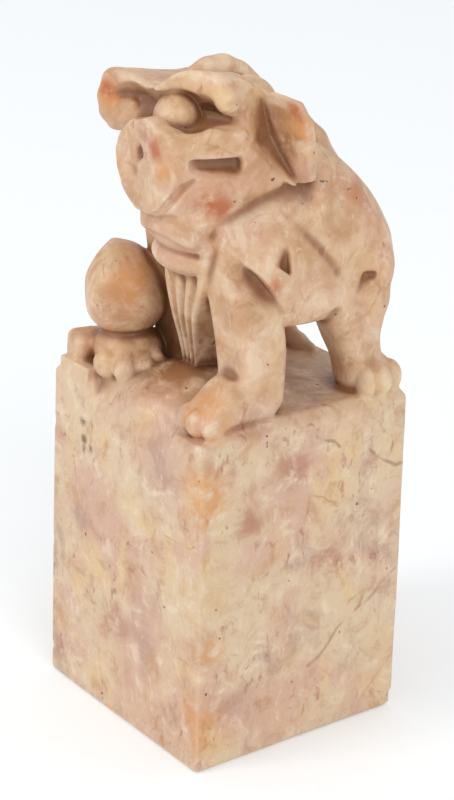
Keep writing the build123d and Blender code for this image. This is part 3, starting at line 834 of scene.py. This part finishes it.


# Turns one cut of the grid into a smooth mesh that carries the relief read for wear, painted shade and
# painted highlight
def pieceFrom(name, field, grid, cut):
    step = grid["step"]
    corner = np.array([c.start for c in cut])
    band = 3.0  # cells on either side of the skin
    volume = openvdb.FloatGrid(background=band)
    volume.copyFromArray(np.pad(np.clip(field / step, -band, band), 1, constant_values=band), tolerance=0.0)
    points, quads = volume.convertToPolygons(isovalue=0.0, adaptivity=0.0)[0::2]
    points, quads = largestShell(points, quads.astype(np.int64))
    spots = points - 1
    places = (spots * step + (grid["low"] + corner * step)) * mm
    mesh = bpy.data.meshes.new(name)
    mesh.vertices.add(len(places))
    mesh.vertices.foreach_set("co", places.astype(np.float32).ravel())
    mesh.loops.add(quads.size)
    mesh.loops.foreach_set("vertex_index", quads.astype(np.int32).ravel())
    mesh.polygons.add(len(quads))
    mesh.polygons.foreach_set("loop_start", np.arange(0, quads.size, 4, dtype=np.int32))
    mesh.update(calc_edges=True)
    mesh.validate()
    mesh.polygons.foreach_set("use_smooth", np.ones(len(mesh.polygons), bool))
    piece = placed(name, mesh)
    for label, wearAndShade in grid["wearAndShade"].items():
        layer = mesh.attributes.new(label, "FLOAT", "POINT")
        layer.data.foreach_set("value", sample(wearAndShade, spots + corner))
    return piece


# Ends a piece a little way past its seam, dipping under its neighbour
def lapped(field, past, depth=sculpting["lapDepth"]):
    return np.maximum(field + sculpting["lapSlope"] * np.maximum(past, 0), past - depth)


# The slice that prints, its ground sunk inside a border and a fret left standing on it
printFace = {
    "size": (30.0, 29.0), "layer": 1.4, "lap": 0.4, "foot": 0.02, "sunk": 0.8, "margin": 1.0, "border": 1.4,
    "groundCorner": 0.5, "groundRim": 0.15, "gap": 1.2, "line": 1.1, "turns": 5,
    "fretMiddle": 0.44, "fretHeight": 0.84, "fretCorner": 0.12,
    "box": ((-15.3, -14.8, -0.4), (15.3, 14.8, 2.2)),
}

print("roughing out the lion and the block")
lionGrid = sculpt(*sculpting["lionBox"], sculpting["lionVoxel"])
blockGrid = sculpt(*sculpting["blockBox"], sculpting["blockVoxel"])
measureRelief(lionGrid)
measureRelief(blockGrid)

stonePieces = []
for number, (name, nodes, blend, shape) in enumerate(masses):
    grid = blockGrid if name == "sealBlock" else lionGrid
    cut, p = window(grid, *reachOf(shape, sculpting["pieceReach"]))
    stone = grid["stone"][cut]
    other = np.where(grid["owner"][cut] == number, grid["second"][cut], grid["near"][cut])
    field = lapped(stone, (np.broadcast_to(shape(p), stone.shape) - other) / 2)
    if name == "sealBlock":
        field = lapped(field, printFace["layer"] - p[2])
    piece = pieceFrom(name, field, grid, cut)
    stonePieces.append((piece, nodes))
    print("carved", name, len(piece.data.polygons), "faces")

cut, p = window(blockGrid, *printFace["box"])
halfWide, halfDeep = (s / 2 - printFace["margin"] - printFace["border"] for s in printFace["size"])
ground = flatBrick(p[0], p[1], halfWide, halfDeep, printFace["groundCorner"])
ground = capped(ground, p[2], -3.0, printFace["sunk"], printFace["groundRim"])
field = lapped(blockGrid["stone"][cut], p[2] - printFace["layer"], printFace["lap"])
field = smoothMax(smoothMax(field, printFace["foot"] - p[2], 0.1), -ground, 0.12)
stonePieces.append((pieceFrom("printFace", field, blockGrid, cut), ["print_face"]))
print("printing face sunk")


# The fret follows four square spirals, swept by Geometry Nodes
def spiralCorners():
    pitch = printFace["gap"] + printFace["line"]
    edge = printFace["margin"] + printFace["border"] + printFace["gap"] * 1.5
    wide, deep = (s / 2 - edge for s in printFace["size"])
    left, right = -wide / 2 + printFace["line"] / 2, wide / 2 - printFace["line"] / 2
    low, high = -deep / 2 + printFace["line"] / 2, deep / 2 - printFace["line"] / 2
    corners = [(left, low)]
    for turn in range(printFace["turns"]):
        x, y = corners[-1]
        if turn % 4 == 0:
            corners.append((right, y))
            low += pitch
        elif turn % 4 == 1:
            corners.append((x, high))
            right -= pitch
        elif turn % 4 == 2:
            corners.append((left, y))
            high -= pitch
        else:
            corners.append((x, low))
            left += pitch
    return corners, (wide + printFace["gap"]) / 2, (deep + printFace["gap"]) / 2


# Adds one node with its settings and links
def add(tree, kind, settings=(), links=()):
    made = tree.nodes.new(kind)
    for key, value in dict(settings).items():
        setattr(made, key, value)
    for socket, value in dict(links).items():
        if isinstance(value, bpy.types.NodeSocket):
            tree.links.new(value, made.inputs[socket])
        else:
            made.inputs[socket].default_value = value
    return made


def fretTree(finish):
    tree = bpy.data.node_groups.new("sweptFret", "GeometryNodeTree")
    tree.interface.new_socket("Path", in_out="INPUT", socket_type="NodeSocketGeometry")
    for label in ("Line width", "Line height", "Corner"):
        tree.interface.new_socket(label, in_out="INPUT", socket_type="NodeSocketFloat")
    tree.interface.new_socket("Fret", in_out="OUTPUT", socket_type="NodeSocketGeometry")
    given = add(tree, "NodeGroupInput").outputs
    path = add(tree, "GeometryNodeMeshToCurve", links={"Mesh": given["Path"]})
    bent = add(tree, "GeometryNodeFilletCurve", links={"Curve": path.outputs[0], "Radius": given["Corner"]})
    section = add(tree, "GeometryNodeCurvePrimitiveQuadrilateral",
                  links={"Width": given["Line width"], "Height": given["Line height"]})
    eased = add(tree, "GeometryNodeFilletCurve",
                links={"Curve": section.outputs[0], "Radius": given["Corner"]})
    swept = add(tree, "GeometryNodeCurveToMesh",
                links={"Curve": bent.outputs[0], "Profile Curve": eased.outputs[0], "Fill Caps": True})
    real = add(tree, "GeometryNodeRealizeInstances", links={"Geometry": swept.outputs[0]})
    dressed = add(tree, "GeometryNodeSetMaterial", links={"Geometry": real.outputs[0], "Material": finish})
    add(tree, "NodeGroupOutput", links={"Fret": dressed.outputs[0]})
    return tree


def linear(code):
    parts = [int(code[i:i + 2], 16) / 255 for i in (1, 3, 5)]
    return tuple(c / 12.92 if c <= 0.04045 else ((c + 0.055) / 1.055) ** 2.4 for c in parts) + (1.0,)


# Soapstone, carved by hand, rubbed down and waxed: cloudy cream and rose stone with fine red flecks,
# rust in its flaws, brown patina and dust in the hollows with painted shade, pale rubbed edges with a painted
# highlight, and a low satin shine
soapstone = {
    "cream": "#D4BA9A", "butter": "#D8B886", "rose": "#CCA58D", "tan": "#BC8F69", "mauve": "#B18F7E",
    "rust": "#B0592C", "ochre": "#D08F4E", "dustAndShade": "#8A6745", "patinaAndShade": "#A0693A", "vein": "#8E5836",
    "fleck": "#A2604E", "paleAndHighlight": "#E6D3B9", "pit": "#4E3524", "speck": "#6A3820", "warm": "#CB8F5C",
    "patina": "#B07E52",
    "ior": 1.55, "roughness": (0.40, 0.56), "wax": 0.06, "waxRoughness": 0.25,
    "bump": 0.35, "bumpDepth": 0.1, "mottleBump": 0.8,
    "crackSize": 15.0, "bendSize": 6.25, "bendReach": 4.0, "veinReach": (0.4, 0.08),
    # a stain or a patch of painted shade is full up to this share of its reach, and the mottle breaks it up
    "patchCore": 0.2, "patchMottle": ("mottle", 0.34, 0.58, 1.0),
    # patterns in the stone: size in millimetres, detail, roughness, distortion, shift, stretch upwards
    "patterns": {
        "cloud": (12.0, 5.0, 0.6, 0.5, (0, 0, 0), 1),
        "bands": (7.0, 5.0, 0.62, 0.6, (0.05, 0.02, 0.07), 0.7),
        "mottle": (3.2, 6.0, 0.68, 0.4, (0.03, 0.01, 0.02), 1),
        "flecks": (1.3, 4.0, 0.62, 0.9, (0.06, 0.03, 0.01), 0.6),
        # soapstone's own grain is finer than 0.1 mm and is drawn coarser here, so that it shows
        "grain": (0.55, 3.0, 0.6, 0.0, (0.01, 0.07, 0.04), 1),
        "drifts": (8.0, 3.0, 0.6, 0.3, (0.09, 0.05, 0.02), 1),
        "rubbing": (4.5, 4.0, 0.62, 0.6, (0.04, 0.08, 0.03), 1),
        "pits": (1.1, 1.0, 0.5, 0.0, (0.02, 0.06, 0.05), 1),
    },
    # colours laid over the cream in turn, each through its masks: pattern, from, to, strength
    "clouds": [
        ("rose", [("cloud", 0.40, 0.62, 1.0)]),
        ("butter", [("bands", 0.50, 0.68, 0.7)]),
        ("tan", [("mottle", 0.48, 0.68, 0.75)]),
        ("mauve", [("bands", 0.48, 0.34, 0.75), ("mottle", 0.35, 0.6, 1.0)]),
        ("paleAndHighlight", [("mottle", 0.46, 0.32, 0.5)]),
        ("fleck", [("flecks", 0.54, 0.74, 0.8), ("drifts", 0.42, 0.58, 1.0)]),
        # the carved part has been handled more and is warmer than the block
        ("warm", [("height", 0.038, 0.046, 0.28)]),
        ("patina", [("height", 0.038, 0.046, 1.0), ("rubbing", 0.47, 0.66, 0.55)]),
        ("paleAndHighlight", [("height", 0.038, 0.046, 1.0), ("rubbing", 0.46, 0.34, 0.45)]),
        ("paleAndHighlight", [("flecks", 0.40, 0.30, 0.35)]),
    ],
    # stains and patches of painted shade: place, reach in millimetres, strength, colour
    "stainsAndShade": [
        # the block's corner and faces
        ((14.8, -14.4, 34.0), 6.0, 0.75, "ochre"), ((14.6, -14.4, 22.0), 6.0, 0.55, "butter"),
        ((14.8, -14.4, 6.0), 6.0, 0.6, "ochre"), ((14.4, -12.6, 15.0), 2.6, 0.7, "ochre"),
        # jaw, ear, brows and shoulder
        ((8.8, -10.4, 65.4), 2.6, 0.95, "rust"), ((9.6, -9.0, 64.6), 1.8, 0.8, "rust"),
        ((12.2, 0.4, 72.5), 4.2, 0.95, "ochre"), ((12.2, -1.4, 74.6), 2.4, 0.9, "rust"),
        ((-8.4, -11.6, 73.2), 2.8, 0.9, "ochre"), ((-8.0, -12.2, 74.0), 1.6, 0.9, "rust"),
        ((12.9, -4.6, 55.6), 2.0, 0.8, "rust"), ((13.4, 7.0, 65.0), 3.0, 0.5, "rust"),
        # forelegs and nose, with brown patina and painted shade on the front of the lifted foreleg's bulb
        ((12.4, -12.0, 42.6), 4.2, 0.8, "ochre"), ((-4.4, -10.6, 52.0), 4.0, 0.9, "ochre"),
        ((-5.6, -12.4, 50.0), 4.0, 0.5, "patinaAndShade"), ((2.6, -13.8, 72.4), 2.0, 0.9, "fleck"),
        ((4.6, -14.0, 70.6), 2.2, 0.9, "rust"), ((6.0, -13.8, 68.6), 2.0, 0.8, "ochre"),
        ((-1.4, -14.2, 67.4), 2.0, 0.7, "ochre"), ((9.4, -9.0, 76.6), 2.0, 0.5, "butter"),
        ((11.5, 9.0, 51.0), 3.0, 0.6, "ochre"), ((3.0, 9.0, 60.0), 6.0, 0.4, "ochre"),
        ((-13.4, -10.6, 44.0), 3.0, 0.7, "ochre"), ((2.6, -10.6, 60.0), 3.4, 0.5, "rose"),
        # dust and painted shade between the forelegs and under the belly
        ((0.0, -7.0, 43.5), 8.5, 0.9, "dustAndShade"), ((-6.0, -8.0, 45.0), 3.6, 0.8, "dustAndShade"),
        ((2.0, -9.0, 43.2), 5.0, 0.6, "patinaAndShade"), ((-4.0, -5.0, 51.0), 5.0, 0.7, "dustAndShade"),
        ((6.0, 4.0, 41.0), 8.0, 0.5, "dustAndShade"),
        # brown patina and painted shade in the hollows of head and shoulder: under the brows, round the eye,
        # in front of the ear, along the jaw's crease and under the shoulder's edge
        ((10.4, -3.4, 73.6), 3.2, 0.95, "patinaAndShade"), ((10.2, -1.6, 70.4), 2.8, 0.95, "patinaAndShade"),
        ((9.8, -6.4, 74.4), 2.0, 0.6, "patinaAndShade"), ((-4.0, -9.6, 73.6), 3.4, 0.75, "patinaAndShade"),
        ((1.0, -10.0, 74.6), 2.6, 0.7, "patinaAndShade"), ((6.2, -9.4, 74.4), 2.6, 0.7, "patinaAndShade"),
        ((11.0, -8.0, 57.6), 2.6, 0.7, "patinaAndShade"), ((3.8, -11.8, 72.0), 2.6, 0.9, "patinaAndShade"),
        ((10.4, -5.8, 64.6), 2.0, 0.7, "patinaAndShade"), ((11.4, -2.0, 65.4), 1.8, 0.7, "patinaAndShade"),
        # a painted highlight at the rear end of the mouth slot, a small bruise on the block's top corner, and
        # specks high on the block's front
        ((9.4, -6.2, 67.6), 0.9, 1.0, "paleAndHighlight"), ((13.6, -14.4, 39.6), 0.8, 1.0, "paleAndHighlight"),
        ((-8.5, -14.5, 35.0), 0.9, 0.85, "speck"), ((-8.2, -14.5, 32.8), 0.9, 0.85, "speck"),
        ((-8.1, -14.5, 31.6), 0.8, 0.85, "speck"), ((-6.9, -14.5, 32.0), 0.8, 0.85, "speck"),
        ((-10.2, -14.4, 38.6), 0.8, 0.85, "speck"), ((14.5, -2.0, 34.5), 3.4, 0.6, "fleck"),
        ((14.5, 3.4, 22.0), 3.6, 0.55, "fleck"), ((14.5, -7.7, 29.9), 2.8, 0.55, "fleck"),
        ((-2.0, -14.5, 12.0), 4.0, 0.5, "fleck"),
    ],
    # healed cracks, straight for a few millimetres and then lost: from, to, strength
    "veins": [
        ((14.5, 1.7, 38.1), (14.5, 8.0, 34.1), 0.6), ((14.5, 8.0, 34.1), (14.5, 14.2, 30.8), 0.6),
        ((14.5, 7.7, 34.8), (14.5, 10.6, 35.9), 0.5), ((14.8, 1.0, 9.0), (14.7, 13.5, 18.0), 0.45),
    ],
    # what lies over the stone: fine cracks, pits, then brown patina and dust in the hollows, darkened further
    # there as painted shade, and pale rubbed ridges lightened as a painted highlight
    "wearAndShade": [
        ("vein", [("cracks", 0.012, 0.0, 0.4), ("bands", 0.52, 0.66, 1.0)]),
        ("pit", [("pits", 0.775, 0.80, 0.85)]),
        ("patinaAndShade", [("broadRelief", 0.04, -0.50, 0.85)], "MULTIPLY"),
        ("dustAndShade", [("broadRelief", -0.15, -0.90, 0.50)]),
        ("paleAndHighlight", [("fineRelief", 0.4, 1.8, 0.28)]),
    ],
}


def soapstoneMaterial():
    material = bpy.data.materials.new("satinSoapstone")
    material.use_nodes = True
    tree = material.node_tree
    tree.nodes.clear()
    place = add(tree, "ShaderNodeTexCoord").outputs["Object"]
    pattern = {"height": add(tree, "ShaderNodeSeparateXYZ", links={0: place}).outputs[2]}
    for label, (size, detail, rough, distortion, shift, stretch) in soapstone["patterns"].items():
        moved = add(tree, "ShaderNodeMapping",
                    links={"Vector": place, "Location": shift, "Scale": (1, 1, stretch)}).outputs[0]
        pattern[label] = add(tree, "ShaderNodeTexNoise",
                             links={"Vector": moved, "Scale": 1 / (size * mm), "Detail": detail,
                                    "Roughness": rough, "Distortion": distortion}).outputs["Fac"]
    for label in sculpting["wearAndShade"]:
        pattern[label] = add(tree, "ShaderNodeAttribute", {"attribute_name": label}).outputs["Fac"]

    layers = list(soapstone["clouds"])
    for spot, reach, strength, shade in soapstone["stainsAndShade"]:
        pattern[spot] = add(tree, "ShaderNodeVectorMath", {"operation": "DISTANCE"},
                            {0: place, 1: tuple(v * mm for v in spot)}).outputs["Value"]
        ring = (spot, reach * mm, reach * mm * soapstone["patchCore"], strength)
        layers.append((shade, [ring, soapstone["patchMottle"]]))

    # cracks run on coordinates that a coarse noise bends
    bend = soapstone["bendReach"] * mm
    wander = add(tree, "ShaderNodeTexNoise",
                 links={"Vector": place, "Scale": 1 / (soapstone["bendSize"] * mm)})
    bent = add(tree, "ShaderNodeVectorMath", {"operation": "MULTIPLY_ADD"},
               {0: wander.outputs["Color"], 1: (bend, bend, bend), 2: place}).outputs[0]
    far, core = (reach * mm for reach in soapstone["veinReach"])
    for start, end, strength in soapstone["veins"]:
        first = Vector(start) * mm + Vector((bend, bend, bend)) / 2
        run = (Vector(end) - Vector(start)) * mm
        offset = add(tree, "ShaderNodeVectorMath", {"operation": "SUBTRACT"},
                     {0: bent, 1: tuple(first)}).outputs[0]
        share = add(tree, "ShaderNodeVectorMath", {"operation": "DOT_PRODUCT"},
                    {0: offset, 1: tuple(run / run.length_squared)}).outputs["Value"]
        kept = add(tree, "ShaderNodeClamp", links={0: share}).outputs[0]
        foot = add(tree, "ShaderNodeVectorMath", {"operation": "SCALE"}, {0: tuple(run), 3: kept}).outputs[0]
        pattern[start] = add(tree, "ShaderNodeVectorMath", {"operation": "DISTANCE"},
                             {0: offset, 1: foot}).outputs["Value"]
        layers.append(("vein", [(start, far, core, strength)]))
    pattern["cracks"] = add(tree, "ShaderNodeTexVoronoi", {"feature": "DISTANCE_TO_EDGE"},
                            {"Vector": bent, "Scale": 1 / (soapstone["crackSize"] * mm)}).outputs["Distance"]

    colour = linear(soapstone["cream"])
    smooth = {"interpolation_type": "SMOOTHSTEP"}
    for shade, masks, *blend in layers + soapstone["wearAndShade"]:
        share = None
        for label, low, high, strength in masks:
            limits = {"From Min": low, "From Max": high, "To Max": strength}
            mask = add(tree, "ShaderNodeMapRange", smooth, {"Value": pattern[label], **limits}).outputs[0]
            if share is None:
                share = mask
            else:
                share = add(tree, "ShaderNodeMath", {"operation": "MULTIPLY", "use_clamp": True},
                            {0: share, 1: mask}).outputs[0]
        colour = add(tree, "ShaderNodeMix",
                     {"data_type": "RGBA", "blend_type": blend[0] if blend else "MIX", "clamp_result": True},
                     {0: share, 6: colour, 7: linear(soapstone[shade])}).outputs[2]

    satin, dull = soapstone["roughness"]
    limits = {"From Min": 0.3, "From Max": 0.7, "To Min": satin, "To Max": dull}
    rough = add(tree, "ShaderNodeMapRange", smooth, {"Value": pattern["grain"], **limits})
    relief = add(tree, "ShaderNodeMath", {"operation": "MULTIPLY_ADD"},
                 {0: pattern["mottle"], 1: soapstone["mottleBump"], 2: pattern["grain"]})
    bump = add(tree, "ShaderNodeBump",
               links={"Strength": soapstone["bump"], "Distance": soapstone["bumpDepth"] * mm,
                      "Height": relief.outputs[0]})
    surface = add(tree, "ShaderNodeBsdfPrincipled",
                  links={"Base Color": colour, "Roughness": rough.outputs[0], "IOR": soapstone["ior"],
                         "Normal": bump.outputs[0], "Coat Weight": soapstone["wax"],
                         "Coat Roughness": soapstone["waxRoughness"]})
    add(tree, "ShaderNodeOutputMaterial", links={"Surface": surface.outputs[0]})
    return material


finish = soapstoneMaterial()
corners, cellX, cellY = spiralCorners()
points, edges = [], []
for sideX in (-1, 1):
    for sideY in (-1, 1):
        first = len(points)
        for x, y in corners:
            points.append((sideX * (cellX + x) * mm, sideY * (cellY + y) * mm, printFace["fretMiddle"] * mm))
        edges += [(first + i, first + i + 1) for i in range(len(corners) - 1)]
pathMesh = bpy.data.meshes.new("fretPath")
pathMesh.from_pydata(points, edges, [])
pathPiece = placed("fretPath", pathMesh)
tree = fretTree(finish)
sweep = pathPiece.modifiers.new("sweptFret", "NODES")
sweep.node_group = tree
fretSizes = {"Line width": printFace["line"] * mm, "Line height": printFace["fretHeight"] * mm,
             "Corner": printFace["fretCorner"] * mm}
for item in tree.interface.items_tree:
    if item.in_out == "INPUT" and item.name in fretSizes:
        sweep[item.identifier] = fretSizes[item.name]
depsgraph = bpy.context.evaluated_depsgraph_get()
fretMesh = bpy.data.meshes.new_from_object(pathPiece.evaluated_get(depsgraph))
bpy.data.objects.remove(pathPiece)
stonePieces.append((placed("printFret", fretMesh), ["print_face"]))
print("fret swept", len(fretMesh.polygons), "faces")

for piece, nodes in stonePieces:
    piece.data.materials.clear()
    piece.data.materials.append(finish)
    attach(piece, "root")
    if nodes:
        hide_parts(*nodes)
print("pieces dressed", len(stonePieces))

# Plain white table that runs on behind the stone: matt paper with no shine, and a faint glow that
# keeps the shadow on it light
table = {"half": 3.0, "white": "#EFF3F6", "roughness": 0.9, "glow": 0.15}
h = table["half"]
floorMesh = bpy.data.meshes.new("table")
floorMesh.from_pydata([(-h, -h, 0), (h, -h, 0), (h, h, 0), (-h, h, 0)], [], [(0, 1, 2, 3)])
floor = placed("table", floorMesh)
white = bpy.data.materials.new("matteWhitePaper")
white.use_nodes = True
paper = white.node_tree.nodes["Principled BSDF"].inputs
paper["Base Color"].default_value = linear(table["white"])
paper["Roughness"].default_value = table["roughness"]
paper["Emission Color"].default_value = (1, 1, 1, 1)
paper["Emission Strength"].default_value = table["glow"]
floorMesh.materials.append(white)

# Soft studio light: bright surroundings and two large lamps
lamps = {
    "sky": 0.76, "aim": (0, 0, 0.04),
    "key": {"place": (-0.14, -0.62, 0.54), "size": 0.30, "power": 1.5, "colour": (1.0, 0.985, 0.96)},
    "fill": {"place": (0.62, -0.22, 0.50), "size": 0.45, "power": 1.5, "colour": (1.0, 0.99, 0.98)},
}
world = bpy.data.worlds.new("paleRoom")
bpy.context.scene.world = world
world.use_nodes = True
world.node_tree.nodes["Background"].inputs["Color"].default_value = (1, 1, 1, 1)
world.node_tree.nodes["Background"].inputs["Strength"].default_value = lamps["sky"]
for name in ("key", "fill"):
    lamp = lamps[name]
    data = bpy.data.lights.new(name, "AREA")
    data.shape = "DISK"
    data.size = lamp["size"]
    data.energy = lamp["power"]
    data.color = lamp["colour"]
    light = placed(name, data)
    light.location = lamp["place"]
    aim = Vector(lamps["aim"]) - Vector(lamp["place"])
    light.rotation_euler = aim.to_track_quat("-Z", "Y").to_euler()
print("table and lamps set")

# The camera stands where the photograph was taken from
view = {
    "azimuth": 52.55, "elevation": 22.70, "distance": 280.0, "roll": 1.85,
    "target": (-0.128, -0.167, 37.32), "lens": 109.8, "sensor": 36.0, "near": 0.01, "far": 20,
}
a, e, roll = (math.radians(view[key]) for key in ("azimuth", "elevation", "roll"))
back = Vector((math.sin(a) * math.cos(e), -math.cos(a) * math.cos(e), math.sin(e)))
right = Vector((math.cos(a), math.sin(a), 0))
up = back.cross(right)
acrossFrame = right * math.cos(roll) + up * math.sin(roll)
upFrame = -right * math.sin(roll) + up * math.cos(roll)
eye = (Vector(view["target"]) + back * view["distance"]) * mm
cameraData = bpy.data.cameras.new("camera")
cameraData.lens = view["lens"]
cameraData.sensor_width = view["sensor"]
cameraData.clip_start = view["near"]
cameraData.clip_end = view["far"]
camera = placed("camera", cameraData)
camera.matrix_world = Matrix((
    (acrossFrame.x, upFrame.x, back.x, eye.x),
    (acrossFrame.y, upFrame.y, back.y, eye.y),
    (acrossFrame.z, upFrame.z, back.z, eye.z),
    (0, 0, 0, 1)))
bpy.context.scene.camera = camera
bpy.context.scene.view_settings.view_transform = "Standard"
